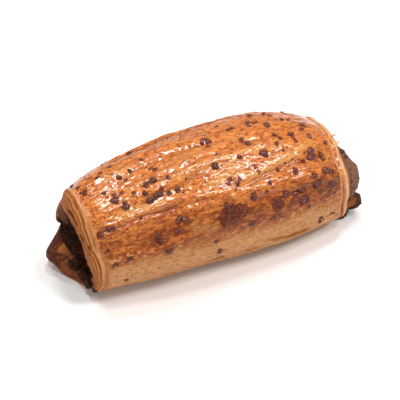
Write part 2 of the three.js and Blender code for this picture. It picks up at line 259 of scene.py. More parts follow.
class Finish:
    """A material being wired."""

    def __init__(self, name):
        self.material = bpy.data.materials.new(name)
        self.material.use_nodes = True
        self.nodes = self.material.node_tree.nodes
        self.links = self.material.node_tree.links
        self.shader = self.nodes["Principled BSDF"]
        self.place = self.node("ShaderNodeTexCoord", out="Object")

    def node(self, kind, settings=None, values=None, out=0):
        """Adds a node: its settings first, then what its sockets take, and gives back an output."""
        node = self.nodes.new(kind)
        for name, value in (settings or {}).items():
            setattr(node, name, value)
        for socket, value in (values or {}).items():
            self.feed(node.inputs[socket], value)
        return Wire(self, node.outputs[out])

    def feed(self, socket, value):
        if isinstance(value, Wire):
            self.links.new(value.socket, socket)
        else:
            socket.default_value = value

    def measure(self, name):
        """A number that the mesh carries at each of its points."""
        return self.node("ShaderNodeAttribute", {"attribute_name": name}, out="Fac")

    def speckle(self, size, stretch=1.0, detail=2.0, roughness=0.5, waver=0.0):
        """Noise from 0 to 1 with marks `size` mm wide, `stretch` times as long along the roll."""
        scale = 1 / (size * MM)
        squeezed = self.node(
            "ShaderNodeVectorMath",
            {"operation": "MULTIPLY"},
            {0: self.place, 1: (scale / stretch, scale, scale)},
        )
        values = {"Vector": squeezed, "Scale": 1.0, "Detail": detail, "Roughness": roughness}
        return self.node("ShaderNodeTexNoise", None, {**values, "Distortion": waver}, out="Fac")

    def ridges(self, noise_wire, sharpness=2.4):
        """Folds a noise over: 1 on thin crests, falling to 0 between them."""
        folded = self.node("ShaderNodeMath", {"operation": "ABSOLUTE"}, {0: 2 * noise_wire - 1})
        return (1 - sharpness * folded).clamped()

    def between(self, value, low, high):
        """0 where value is under low and 1 over high, with a soft step between."""
        settings = {"interpolation_type": "SMOOTHSTEP"}
        return self.node("ShaderNodeMapRange", settings, {"Value": value, "From Min": low, "From Max": high})

    def mix(self, share, first, second):
        """A colour between two colours."""
        values = {0: share, 6: first, 7: second}
        return self.node("ShaderNodeMix", {"data_type": "RGBA"}, values, out=2)

    def layered(self, ground, *coats):
        """Lays coats over a ground colour. Each is how much of it there is, and its colour."""
        for share, tint in coats:
            ground = self.mix(share, ground, colour(*tint))
        return ground

    def bump(self, height, depth_mm):
        """Fine relief: height from 0 to 1 stands for depth_mm."""
        values = {"Height": height, "Distance": depth_mm * MM, "Strength": 1.0}
        return self.node("ShaderNodeBump", None, values, out="Normal")

    def wear(self, **values):
        """Sets the shader's sockets. Underscores in a name stand for spaces."""
        for name, value in values.items():
            self.feed(self.shader.inputs[name.replace("_", " ")], value)
        return self.material


print("golden crust in linear light:", [round(v, 3) for v in colour(222, 150, 88)[:3]])

# %% [markdown]
# ## The wrap
#
# The wrap is the sheet of dough itself. It could be sculpted from a cylinder, but a baker makes it
# from a flat sheet, and so does this step: it starts from a grid, rolls it up and pinches the edges
# together. One way of the grid runs round the roll. The other runs along the skin, over the right
# rim, back through the hole and over the left rim to where it started, so that the sheet closes on
# itself and has no open edge.
#
# The first step lists the rows of the sheet and what each row is.

# %% Rows of the sheet
AROUND = 288  # columns of the sheet, round the roll
SKIN_ROWS = 204
RIM_ROWS = 38
BORE_ROWS = 14


def steps(count, first, last):
    """`count` values from first up to, but not at, last."""
    return [lerp(first, last, i / count) for i in range(count)]


rows = (
    [("skin", along) for along in steps(SKIN_ROWS, -1, 1)]
    + [("right rim", angle) for angle in steps(RIM_ROWS, 0, 90)]
    + [("bore", along) for along in steps(BORE_ROWS, 1, -1)]
    + [("left rim", angle) for angle in steps(RIM_ROWS, 90, 0)]
)
print(f"the sheet has {len(rows)} rows of {AROUND} columns, {2 * len(rows) * AROUND} triangles")

# %% [markdown]
# ## Glaze, bake and creases
#
# Egg wash covers the top and stops at an uneven line low on the sides, where the dough stays pale
# and dull. The skin is darkest just above that line: it browned most there in the oven, and it is
# painted darker still, as painted shade of that low band. Some places were stretched in the oven and
# stay pale. Long creases run along the roll, and their grooves are painted darker, as painted shade.
# All of these are rules of a place too, so the relief and the colours agree with each other. A
# place's distance from a crease is measured on the unrolled sheet, in millimetres.

# %% Where the skin is glazed, pale or creased
GLAZE_EDGE = {"turn": 265.0, "fall": 9.5, "middle": 0.25, "wander": 11.0}
MM_PER_DEGREE = math.pi * HALF_WIDTH / 180
LINE_FADE = 8.0  # mm past its ends where a streak or a crease is no longer felt

PALE_STREAKS = [  # from and to, each a turn and a place along, then the width in mm and strength
    ((215, -0.8), (219, -0.54), 1.6, 0.75),
    ((223, 0.2), (215, 0.62), 1.5, 0.65),
    ((212, 0.6), (205, 0.8), 1.4, 0.6),
    ((218, -0.08), (214, 0.12), 1.6, 0.8),
    ((173, -0.76), (171, -0.62), 1.8, 0.5),
    ((250, -0.28), (254, -0.18), 1.8, 0.5),
    ((188, -0.35), (184, 0.3), 2.4, 0.35),
    ((204, -0.3), (200, 0.5), 2.2, 0.4),
    ((120, -0.6), (124, 0.1), 2.2, 0.5),
    ((104, 0.0), (110, 0.7), 2.0, 0.5),
]
CREASES = [  # from, to, width and depth in mm
    ((224, -0.95), (226, -0.46), 1.1, 0.75),
    ((226, -0.5), (231, -0.1), 1.2, 0.35),
    ((226, 0.22), (219, 0.66), 1.3, 0.5),
    ((211, -0.5), (207, 0.05), 1.2, 0.45),
    ((199, -0.55), (195, 0.2), 1.3, 0.4),
    ((190, 0.1), (193, 0.6), 1.1, 0.35),
    ((176, -0.7), (180, 0.1), 1.4, 0.45),
    ((168, 0.2), (170, 0.85), 1.2, 0.35),
    ((247, -0.7), (252, -0.3), 1.2, 0.35),
    ((241, 0.2), (247, 0.7), 1.2, 0.35),
    ((150, -0.6), (146, 0.4), 1.5, 0.5),
    ((132, -0.2), (128, 0.7), 1.5, 0.45),
    ((112, -0.7), (108, 0.1), 1.5, 0.45),
]


def from_line(turn, along, first, last):
    """How far a place is from a line on the unrolled sheet: across it, and past its ends, in mm."""
    long = (last[1] - first[1]) * HALF
    wide = (last[0] - first[0]) * MM_PER_DEGREE
    ahead = (along - first[1]) * HALF
    aside = angle_from(turn, first[0]) * MM_PER_DEGREE
    length = math.hypot(long, wide)
    share = (ahead * long + aside * wide) / length**2
    past = max(0.0, -share, share - 1) * length
    return (aside * long - ahead * wide) / length, past


def sheet_point(turn, along):
    """A place for the noise, on a round tube of the skin's length."""
    return Vector((along * HALF, HALF_WIDTH * sine(turn), -HALF_WIDTH * cosine(turn)))


def above_glaze_edge(turn, along):
    """How far a place lies above the glaze's edge, in mm round the roll."""
    edge = GLAZE_EDGE["turn"] - GLAZE_EDGE["fall"] * (along - GLAZE_EDGE["middle"]) ** 2
    point = sheet_point(turn, along)
    wander = GLAZE_EDGE["wander"] * (grain(point, 9, 1.5) + 0.7 * grain(point, 3, 1.3, 7))
    from_top = abs(angle_from(turn, 180))
    return (edge - 180 + 0.5 * wander - from_top) * MM_PER_DEGREE


def glazed(above):
    """How thick the glaze is, from 0 to 1. It thins out over a few mm at its edge."""
    return smoothstep(above, -1.6, 1.8)


def streaked(turn, along, point):
    """How pale a stretched place is, from 0 to 1."""
    total = 0.0
    for first, last, width, strength in PALE_STREAKS:
        across, past = from_line(turn, along, first, last)
        if past < LINE_FADE and abs(across) < 3 * width:
            ragged = across + 1.4 * grain(point, 2.6, 2.5, 11)
            total += strength * hump(ragged, width) * hump(past, 3.0)
    return min(1.0, total)


def creased(turn, along, point):
    """How deep the creases are at a place, in mm. Their upper side stands out a little."""
    depth = 0.0
    for first, last, width, deep in CREASES:
        across, past = from_line(turn, along, first, last)
        if past < LINE_FADE and abs(across) < 5 * width:
            bent = across + 1.6 * grain(point, 7, 1.5, 3)
            ends = hump(past, 4.0)
            depth += deep * ends * (hump(bent, width) - 0.6 * hump(bent + 1.9 * width, 1.3 * width))
    return depth


probe = [round(above_glaze_edge(turn, 0), 1) for turn in (250, 265, 280)]
print("turns 250, 265 and 280 lie above the glaze's edge by, in mm:", probe)

# %% [markdown]
# ## The skin's relief
#
# Down to about half a millimetre the relief is in the mesh, because the gloss breaks on it: long
# streaks, wrinkles of the glaze and the creases. It could all be bump in the finish, but bump
# doesn't change the outline, and it is lost where only the mesh is kept. What is finer is left to
# the finish. Each term below is a height in mm times a noise with its size, stretch and seed. The
# shell is the step up at the edge of the glaze.


# %% How far the skin stands out at a place
def skin_relief(turn, along, above, crease):
    """In mm, where the glaze's edge and the creases are known."""
    point = sheet_point(turn, along)
    shine = glazed(above)
    streaks = 0.30 * grain(point, 5.0, 2.2) + 0.14 * grain(point, 2.2, 2.0, 5)
    wrinkles = 0.12 * crests(point, 2.1, 2.2, 21) + 0.18 * crests(point, 1.35, 2.6, 31)
    wrinkles += 0.14 * crests(point, 0.95, 2.8, 37)
    dull = 0.10 * grain(point, 1.4, 1.2, 13) + 0.16 * grain(point, 3.0, 1.6, 17)
    shell = 0.22 * smoothstep(above, -0.4, 0.5)
    inner = 1 - smoothstep(abs(along), 0.93, 1.0)
    edge = 0.25 * hump((1 - along) * HALF - 0.4, 0.5)
    return inner * (streaks + shine * (wrinkles - 0.2) + (1 - shine) * dull + shell) + edge - crease


heights = [skin_relief(turn, 0.1, 20, 0) for turn in range(0, 360, 3)]
print(f"the relief runs from {min(heights):.2f} to {max(heights):.2f} mm")

# %% [markdown]
# ## The rims
#
# At both ends the sheet was cut, and its leaves show: thin, uneven edges that lie on each other from
# the skin to the inner lip. At the left, some of the leaves have parted into gashes, and the end
# runs out into a tongue low at the back. The leaves could be separate sheets, but they are
# baked together, so they are low ridges across the rim that wander and fade on their way round.
# A point of the rim also says how deep it lies under the skin, where it is on its leaf and how far
# the leaves have parted, because the finish colours it by these: the troughs between the leaves and
# the gashes are painted darker, as painted shade.

# %% The shape of a rim
LEFT_LIP = {"mean": 3.0, "swing": 2.8, "turn": 196}
RIGHT_LIP = {"mean": 4.3, "swing": 0.8, "turn": 300}
LIP_WAVES = [(0.3, 4, 1.0), (0.15, 7, 0.0)]  # height, how many round the roll, phase
RIGHT_SQUARE = 1.6  # above 1, the right rim is a fuller curve
GASHES = [  # from and to in turns, depth in mm, and the angle of the rim
    (168, 206, 2.9, 68),
    (212, 232, 1.8, 68),
    (229, 248, 1.8, 50),
    (120, 150, 1.6, 60),
    (262, 292, 1.1, 58),
]
GASH_FADE = 8  # degrees of turn over which a gash opens and closes
GASH_WIDTH = 4.5  # degrees of the rim's angle
BUD = {"reach": 3.2, "turn": 96, "span": 10}
RIDGE = {"height": 0.9, "turn": 38, "span": 7}  # down the middle of the tongue
LEAF_THICKNESS = 1.1
LEAF_RIDGE = 0.15  # how far a leaf stands out from the rim


def lip(turn, rim):
    """How far the lip of a rim stands out past the edge of the skin, in mm."""
    waves = sum(h * math.cos(n * math.radians(turn) + phase) for h, n, phase in LIP_WAVES)
    return rim["mean"] + rim["swing"] * cosine(turn - rim["turn"]) + waves


def gash(turn, angle):
    """How far the leaves have parted, in mm."""
    total = 0.0
    wander = 6.0 * grain(sheet_point(turn, 0), 8)
    for first, last, depth, at in GASHES:
        if first < turn < last:
            opened = smoothstep(turn, first, first + GASH_FADE)
            opened *= 1 - smoothstep(turn, last - GASH_FADE, last)
            total += depth * opened * hump(angle - at - wander, GASH_WIDTH)
    return total


def leaves(depth, point):
    """The ridges of the leaves, from -1 to 1, at a depth under the skin."""
    wander = 0.7 * grain(point, 11, 0.7, 41) + 0.12 * grain(point, 3.5, 0.7, 43)
    phase = (depth + wander) / LEAF_THICKNESS
    strength = max(0.0, 0.6 + 0.9 * grain(point, 5, 0.5, 47)) * (1 - smoothstep(depth, 4, 7))
    return strength * math.sin(2 * math.pi * phase)


def rim_point(turn, side, angle):
    """A point of a rim: angle 0 is the edge of the skin and 90 the lip. Also what lies there."""
    outer = skin_radius(turn, side)
    wall = outer - bore_radius(turn, side * HALF)
    depth = wall * (1 - cosine(angle)) ** (1 if side < 0 else RIGHT_SQUARE)
    noise_point = Vector((side * 200 + depth, HALF_WIDTH * sine(turn), HALF_WIDTH * cosine(turn)))
    leaf = leaves(depth, noise_point)
    ridge = LEAF_RIDGE * sine(angle) * leaf
    uneven = sine(angle) * (0.5 * grain(noise_point, 5.5, 1, 53) + 0.2 * grain(noise_point, 1.8, 1, 57))
    if side > 0:
        reach = HALF + lip(turn, RIGHT_LIP) * sine(angle) + ridge + 0.6 * uneven
        return in_roll(turn, side, outer - depth, reach), {"layer": depth, "leaf": leaf, "gash": 0.0}
    bud = BUD["reach"] * hump(turn - BUD["turn"], BUD["span"])
    fold = RIDGE["height"] * hump(angle_from(turn, RIDGE["turn"]), RIDGE["span"])
    lobe = tongue(turn) * tongue_shape(angle) + (bud + fold) * sine(angle)
    parted = gash(turn, angle)
    x = -HALF - lip(turn, LEFT_LIP) * sine(angle) - lobe - ridge - uneven + parted
    return in_roll(turn, side, outer - depth, x), {"layer": depth, "leaf": leaf, "gash": parted}


tip = min((rim_point(t, -1, a)[0] for t in range(0, 360, 4) for a in (30, 50, 70)), key=lambda p: p.x)
print("the tongue's tip lies at", [round(v, 1) for v in tip], "mm")

# %% [markdown]
# ## Strewn crumbs
#
# The crumbs lie where the solids have them: in clusters on the glazed top, with a few strewn over
# the back. The clusters were picked by eye, and a helper script that isn't part of this lesson worked
# out their turns and places along. The crumbs are drawn by the same rule with the same first number
# as the solids' crumbs, so each covers its solid. The places come before the wrap is made, because
# the skin is stained round each crumb.

# %% Where the crumbs lie
CLUSTERS = [  # turn, along, how many, how far they spread, and a crumb's radius
    (147, -0.99, 1, 0.0, 1.4),
    (162, -0.98, 1, 0.0, 1.1),
    (171, -0.95, 2, 1.4, 1.3),
    (185, -0.83, 1, 0.0, 1.4),
    (164, -0.79, 2, 1.8, 1.2),
    (158, -0.7, 1, 0.0, 1.3),
    (170, -0.72, 1, 0.0, 1.3),
    (148, -0.5, 1, 0.0, 1.5),
    (175, -0.59, 1, 0.0, 1.5),
    (176, -0.68, 1, 0.0, 1.7),
    (183, -0.65, 1, 0.0, 1.2),
    (169, -0.48, 1, 0.0, 1.2),
    (186, -0.45, 2, 1.3, 1.3),
    (194, -0.78, 1, 0.0, 1.5),
    (199, -0.79, 1, 0.0, 2.0),
    (196, -0.73, 2, 0.8, 1.3),
    (206, -0.74, 1, 0.0, 1.3),
    (211, -0.74, 2, 0.9, 1.7),
    (201, -0.65, 1, 0.0, 1.1),
    (198, -0.49, 1, 0.0, 2.1),
    (199, -0.55, 1, 0.0, 2.0),
    (206, -0.58, 1, 0.0, 1.8),
    (213, -0.56, 2, 0.9, 1.7),
    (212, -0.5, 2, 0.9, 1.9),
    (208, -0.46, 1, 0.0, 1.2),
    (203, -0.39, 2, 1.4, 1.2),
    (214, -0.42, 1, 0.0, 1.1),
    (214, -0.34, 2, 1.4, 1.2),
    (221, -0.89, 2, 1.1, 1.4),
    (225, -0.98, 1, 0.0, 1.9),
    (238, -0.42, 2, 0.8, 1.7),
    (240, -0.36, 1, 0.0, 1.6),
    (246, -0.44, 1, 0.0, 1.4),
    (245, -0.6, 1, 0.0, 1.4),
    (250, -0.58, 2, 1.0, 1.3),
    (263, -0.52, 1, 0.0, 1.3),
    (259, -0.92, 1, 0.0, 1.2),
    (257, -0.82, 1, 0.0, 1.4),
    (288, -0.84, 1, 0.0, 1.2),
    (176, 0.02, 4, 1.9, 1.4),
    (184, 0.02, 1, 0.0, 1.4),
    (196, 0.03, 1, 0.0, 1.1),
    (206, -0.02, 1, 0.0, 1.8),
    (205, 0.19, 1, 0.0, 1.6),
    (188, 0.28, 1, 0.0, 1.4),
    (194, 0.31, 1, 0.0, 1.5),
    (207, 0.39, 1, 0.0, 2.1),
    (216, 0.28, 1, 0.0, 1.7),
    (220, 0.29, 1, 0.0, 1.3),
    (223, 0.45, 1, 0.0, 1.2),
    (219, 0.06, 2, 0.9, 1.5),
    (223, 0.03, 1, 0.0, 1.3),
    (222, 0.13, 1, 0.0, 1.4),
    (225, 0.1, 1, 0.0, 1.4),
    (169, 0.27, 2, 1.2, 1.3),
    (159, 0.2, 1, 0.0, 1.3),
    (166, 0.43, 1, 0.0, 1.3),
    (174, 0.43, 2, 1.2, 1.2),
    (168, 0.5, 2, 1.2, 1.3),
    (176, 0.55, 3, 1.4, 1.3),
    (154, 0.5, 1, 0.0, 1.3),
    (155, 0.62, 1, 0.0, 1.4),
    (160, 0.65, 1, 0.0, 1.4),
    (172, 0.74, 2, 1.8, 1.3),
    (191, 0.55, 1, 0.0, 1.4),
    (196, 0.57, 1, 0.0, 1.4),
    (201, 0.52, 1, 0.0, 1.3),
    (208, 0.55, 1, 0.0, 1.2),
    (194, 0.68, 2, 1.0, 1.4),
    (200, 0.69, 2, 1.2, 1.4),
    (182, 0.83, 2, 1.0, 1.6),
    (188, 0.8, 1, 0.0, 1.5),
    (199, 0.83, 2, 1.4, 1.4),
    (205, 0.94, 1, 0.0, 1.5),
    (212, 0.77, 2, 0.9, 1.7),
    (217, 0.77, 3, 1.3, 1.7),
    (221, 0.71, 2, 1.6, 1.3),
    (219, 0.86, 3, 1.8, 1.4),
    (228, 0.59, 1, 0.0, 2.0),
    (237, 0.75, 2, 1.0, 1.8),
    (243, 0.74, 3, 1.2, 1.8),
    (251, 0.77, 2, 1.2, 1.5),
    (234, 0.87, 3, 2.0, 1.3),
    (246, 0.89, 3, 1.8, 1.4),
    (257, 0.86, 2, 1.8, 1.2),
    (232, 0.35, 1, 0.0, 1.5),
    (238, 0.31, 1, 0.0, 1.4),
    (240, 0.2, 3, 1.2, 1.5),
    (245, 0.47, 1, 0.0, 1.9),
    (248, 0.54, 1, 0.0, 1.6),
    (246, 0.6, 2, 1.0, 1.6),
    (255, 0.61, 3, 1.4, 1.8),
    (253, 0.5, 1, 0.0, 1.4),
    (264, 0.66, 1, 0.0, 1.2),
    (264, 0.17, 3, 1.3, 1.5),
    (264, 0.34, 1, 0.0, 1.3),
    (272, -0.12, 2, 1.6, 1.2),
    (286, -0.09, 2, 1.4, 1.2),
    (239, -0.03, 1, 0.0, 1.3),
    (289, 0.81, 2, 2.4, 1.1),
    (248, 0.03, 9, 3.4, 1.1),
    (252, 0.38, 5, 2.4, 1.2),
]
SCATTER = {"count": 20, "turns": (70, 150), "alongs": (-0.95, 0.95), "sizes": (0.8, 1.4)}
CRUMB_SIZES = (0.7, 1.15)  # shares of a row's radius
CRUMB_SHAPES = (0.8, 1.2)  # a crumb's three radii, as shares of its own size
CRUMB_SUNK = 0.25  # how deep a crumb's middle lies in the skin, as a share of its size
FIRST_NUMBER = 7  # the draws start here, as those of the solids do


class Draw:
    """A repeatable draw from 0 to 1. Each state is worked out from the one before it."""

    FACTOR = 1664525
    STEP = 1013904223
    RANGE = 2**32

    def __init__(self, state):
        self.state = state

    def __call__(self):
        self.state = (self.state * self.FACTOR + self.STEP) % self.RANGE
        return self.state / self.RANGE


def crumb_places(draw):
    places = []
    for turn, along, count, spread, size in CLUSTERS:
        for _ in range(count):
            way = draw() * 360
            off = spread * math.sqrt(draw())
            aside = off * cosine(way) / MM_PER_DEGREE
            ahead = off * sine(way) / HALF
            places.append((turn + aside, along + ahead, size * lerp(*CRUMB_SIZES, draw())))
    for _ in range(SCATTER["count"]):
        turn = lerp(*SCATTER["turns"], draw())
        along = lerp(*SCATTER["alongs"], draw())
        places.append((turn, along, lerp(*SCATTER["sizes"], draw())))
    return places


draw = Draw(FIRST_NUMBER)
crumb_list = crumb_places(draw)
crumb_tree = kdtree.KDTree(len(crumb_list))
for index, (turn, along, size) in enumerate(crumb_list):
    crumb_tree.insert(in_roll(turn, along, skin_radius(turn, along), skin_x(turn, along)), index)
crumb_tree.balance()
print(len(crumb_list), "crumbs")

# %% [markdown]
# ## Melted and greasy patches
#
# Some of the chocolate melted into the glaze and left dark, dull patches, and fat has soaked the
# dough along the base. They could be painted by hand. Here each patch is an oval on the unrolled
# sheet whose edge is frayed by noise, so the wrap carries it as a number at each point.

# %% Patches on the skin
MELTS = [  # turn, along, half width round the roll and half length along it in mm, strength
    (248, 0.01, 3.9, 6.8, 1.0),
    (252, 0.38, 3.0, 3.4, 0.9),
    (255, 0.61, 2.6, 3.0, 0.8),
    (246, 0.58, 1.8, 3.0, 0.7),
    (247, -0.59, 3.4, 1.5, 0.9),
    (262, -0.52, 1.8, 2.6, 0.7),
    (257, -0.82, 1.4, 2.6, 0.6),
    (261, -0.92, 1.4, 2.4, 0.6),
    (243, -0.95, 2.0, 1.2, 0.6),
    (258, -0.03, 1.6, 3.0, 0.45),
    (272, -0.12, 1.2, 2.0, 0.7),
    (264, 0.38, 1.2, 3.0, 0.5),
    (247, 0.88, 2.2, 3.2, 0.7),
    (219, 0.86, 3.2, 1.6, 0.8),
    (234, 0.88, 1.2, 3.6, 0.8),
    (257, 0.87, 1.2, 2.6, 0.6),
    (286, 0.9, 1.2, 2.6, 0.6),
    (289, 0.78, 1.0, 2.6, 0.6),
    (286, -0.09, 1.4, 2.4, 0.6),
    (171, -0.96, 1.0, 2.2, 0.7),
    (181, 0.84, 2.0, 1.6, 0.6),
    (120, -0.35, 2.4, 3.0, 0.6),
    (112, 0.4, 2.0, 3.4, 0.6),
]
GREASE = [
    (294, 0.56, 1.5, 7.0, 1.0),
    (293, 0.42, 1.1, 4.0, 0.9),
    (300, 0.2, 1.4, 5.0, 0.9),
    (301, -0.11, 1.4, 3.6, 1.0),
    (303, -0.5, 1.2, 3.4, 0.6),
    (60, 0.1, 1.6, 6.0, 0.8),
    (62, 0.6, 1.4, 4.0, 0.8),
]


def patched(patches, turn, along, point):
    """How strongly a place is covered by patches, from 0 to 1."""
    frayed = 0.55 * grain(point, 2.2, 1.2, 91) + 0.35 * grain(point, 0.9, 1.2, 93)
    total = 0.0
    for at, x, half_width, half_length, strength in patches:
        across = angle_from(turn, at) * MM_PER_DEGREE / half_width
        ahead = (along - x) * HALF / half_length
        if abs(across) < 2 and abs(ahead) < 2:
            edge = math.hypot(across, ahead) + frayed
            total = max(total, strength * (1 - smoothstep(edge, 0.7, 1.2)))
    return total


print("patches of melted chocolate:", len(MELTS), "and of grease:", len(GREASE))

# %% [markdown]
# ## Rolling the sheet
#
# Now the grid is made. Each of its points knows its row and column, so it is moved to its place on
# the roll, and what the place is like is written on it as numbers that the finish reads. Then the
# points that meet are welded. The tongue is scorched at its tip and stained low at the left, where
# chocolate ran over it, with bare dough between and along the filling. The inside of the hole and
# the inner lip beside the filling are marked dark: chocolate stains the dough there, and painted
# shade of the hollow lies over it.

# %% Marks that the finish reads
MARKS = ("glaze", "above", "bake_and_shade", "pale", "crease", "stain", "melt", "grease", "rim", "edge")
MARKS += ("layer", "leaf", "gash", "lip", "scorch", "inside")
TIP_TURNS = (12, 24, 84, 100)  # where the scorched tip fades in and out, round the roll
TIP_DEPTHS = (10, 11.5)  # where it fades out towards the filling, in mm under the skin
LOW_STAIN = {"turn": 342, "fades": (24, 46), "strength": 0.65}


def skin_marks(turn, along, marks):
    """Writes the marks of a place of the skin, and gives back the place itself, in mm."""
    point = sheet_point(turn, along)
    above = above_glaze_edge(turn, along)
    crease = creased(turn, along, point)
    relief = skin_relief(turn, along, above, crease)
    place = in_roll(turn, along, skin_radius(turn, along) + relief, skin_x(turn, along))
    marks["glaze"] = glazed(above)
    marks["above"] = above
    marks["pale"] = streaked(turn, along, point)
    # the crease's depth; the finish also paints the groove darker, as painted shade
    marks["crease"] = max(0.0, crease)
    marks["rim"] = smoothstep(abs(along), 0.955, 0.995)
    marks["edge"] = hump((1 - along) * HALF - 0.4, 0.4)
    marks["melt"] = patched(MELTS, turn, along, point)
    marks["grease"] = patched(GREASE, turn, along, point)
    # how brown the low band above the glaze's edge is: the oven's browning and painted shade together
    browned_and_shaded = 0.75 + 0.25 * smoothstep(along, -0.8, -0.4) + 0.25 * smoothstep(along, 0.3, 0.7)
    marks["bake_and_shade"] = browned_and_shaded * hump(above - 6, 6.5)
    _, nearest, distance = crumb_tree.find(place)
    marks["stain"] = hump(distance, 0.5 + crumb_list[nearest][2])
    return place


def rim_marks(turn, side, angle, marks):
    """Writes the marks of a place of a rim, whose depth under the skin is already in them."""
    marks["above"] = above_glaze_edge(turn, side)
    marks["glaze"] = glazed(marks["above"]) * (1 - smoothstep(angle, 2, 14 if side < 0 else 40))
    marks["rim"] = 1.0
    marks["lip"] = smoothstep(angle, 74, 84)
    marks["edge"] = hump(angle - 26, 10) if side > 0 else 0.35 * hump(angle - 12, 6)
    if side < 0:
        share = tongue(turn) / TONGUE["reach"]
        near = turn + 22 * grain(Vector((marks["layer"], turn * 0.3, 0)), 3)
        deep = smoothstep(marks["layer"], 1.5, 3.5)
        tip = smoothstep(near, *TIP_TURNS[:2]) * (1 - smoothstep(near, *TIP_TURNS[2:])) * deep
        tip *= 1 - smoothstep(marks["layer"], *TIP_DEPTHS)
        low = (1 - smoothstep(abs(angle_from(near, LOW_STAIN["turn"])), *LOW_STAIN["fades"])) * deep
        marks["scorch"] = max(tip, LOW_STAIN["strength"] * low)
        # the inner lip beside the filling: chocolate stain and painted shade of the hollow
        marks["inside"] = smoothstep(angle, 78, 90) * (1 - smoothstep(share, 0.3, 0.7))


print("marks on each point of the wrap:", ", ".join(MARKS))


# %% Make the wrap
def wrap_place(kind, value, turn):
    """The place of a point of the sheet, in mm, and its marks."""
    marks = dict.fromkeys(MARKS, 0.0)
    if kind == "skin":
        place = skin_marks(turn, value, marks)
    elif kind == "bore":
        x = value * HALF
        place = in_roll(turn, value, bore_radius(turn, x), x)
        # the hole's inside: chocolate stain and painted shade
        marks["inside"] = 1.0
        marks["rim"] = 1.0
    else:
        side = 1 if kind == "right rim" else -1
        place, found = rim_point(turn, side, value)
        marks.update(found)
        rim_marks(turn, side, value, marks)
    return place, marks


sheet = bmesh.new()
bmesh.ops.create_grid(sheet, x_segments=len(rows), y_segments=AROUND, size=0.5)
layers = {name: sheet.verts.layers.float.new(name) for name in MARKS}
for vert in sheet.verts:
    row = round((vert.co.x + 0.5) * len(rows)) % len(rows)
    column = round((vert.co.y + 0.5) * AROUND) % AROUND
    kind, value = rows[row]
    place, marks = wrap_place(kind, value, 360 * column / AROUND)
    vert.co = place * MM
    for name, mark in marks.items():
        vert[layers[name]] = mark
bmesh.ops.remove_doubles(sheet, verts=sheet.verts, dist=1e-7)
open_edges = sum(1 for edge in sheet.edges if not edge.is_manifold)
print(f"wrap: {len(sheet.verts)} points, {len(sheet.faces)} faces, {open_edges} open edges")

# %% [markdown]
# Three scraps of the same dough are stuck to the right rim: a thick one low at the lip and two thin
# flakes near the top. A flake could be a bent sheet, but at this size a ball that is flattened,
# leaned over and pushed out of shape looks the same and is closed. They go into the wrap's own mesh.

# %% Scraps and flakes
SCRAPS = [  # place and radii in mm, how they lean, and how pale they are
    ((54.2, -15, 10.2), (4.8, 2.2, 2.2), 0.1, 0.0),
    ((51.4, -7.0, 40.2), (1.5, 0.5, 0.4), -0.5, 0.8),
    ((52.0, -9.4, 38.2), (1.3, 0.6, 0.3), -0.2, 1.0),
]
for number, (centre, radii, lean, paleness) in enumerate(SCRAPS):
    made = bmesh.ops.create_icosphere(sheet, subdivisions=4 if min(radii) > 1 else 2, radius=1.0)
    for vert in made["verts"]:
        ball = Vector(vert.co[i] * radii[i] for i in range(3))
        ball.rotate(Euler((0, lean, 0)))
        ball *= 1 + 0.5 * noise.noise(vert.co * 2.2 + Vector((number, 0, 0)))
        vert.co = (Vector(centre) + ball) * MM
        vert[layers["rim"]], vert[layers["layer"]] = 1.0, 1.6
        vert[layers["edge"]], vert[layers["scorch"]] = paleness, 0.35 * (1 - paleness)
bmesh.ops.recalc_face_normals(sheet, faces=sheet.faces)


# %% Make an object of a mesh
def new_object(mesh_data, name):
    """Turns a bmesh into an object of the scene."""
    mesh = bpy.data.meshes.new(name)
    mesh_data.to_mesh(mesh)
    mesh_data.free()
    made = bpy.data.objects.new(name, mesh)
    bpy.context.scene.collection.objects.link(made)
    return made


def finished(mesh_data, name, node):
    """Makes a smooth object that stands for a solid of the pastry."""
    for face in mesh_data.faces:
        face.smooth = True
    piece = new_object(mesh_data, name)
    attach(piece, "root")
    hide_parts(node)
    return piece


wrap = finished(sheet, "dough_wrap", "dough")
print("faces of the wrap with its scraps:", len(wrap.data.polygons))

# %% [markdown]
# ## The crust's finish
#
# The crust's colour is built up as the oven does it: a golden ground, orange and brown where it is
# hotter, pale where it was stretched, and dull peach under the glaze's edge. It could be painted,
# but noises that are stretched along the roll give the streaks of real dough, and the marks on the
# mesh say where each colour goes. Fibres and threads are thin lines, clouds are the broad shades,
# and spots and flecks are where the glaze has browned in points. Painted shade is laid in too: on
# the low band just above the glaze's edge, in the creases, in the troughs between the rims' leaves,
# in the gashes, and inside the hole and at the inner lip.


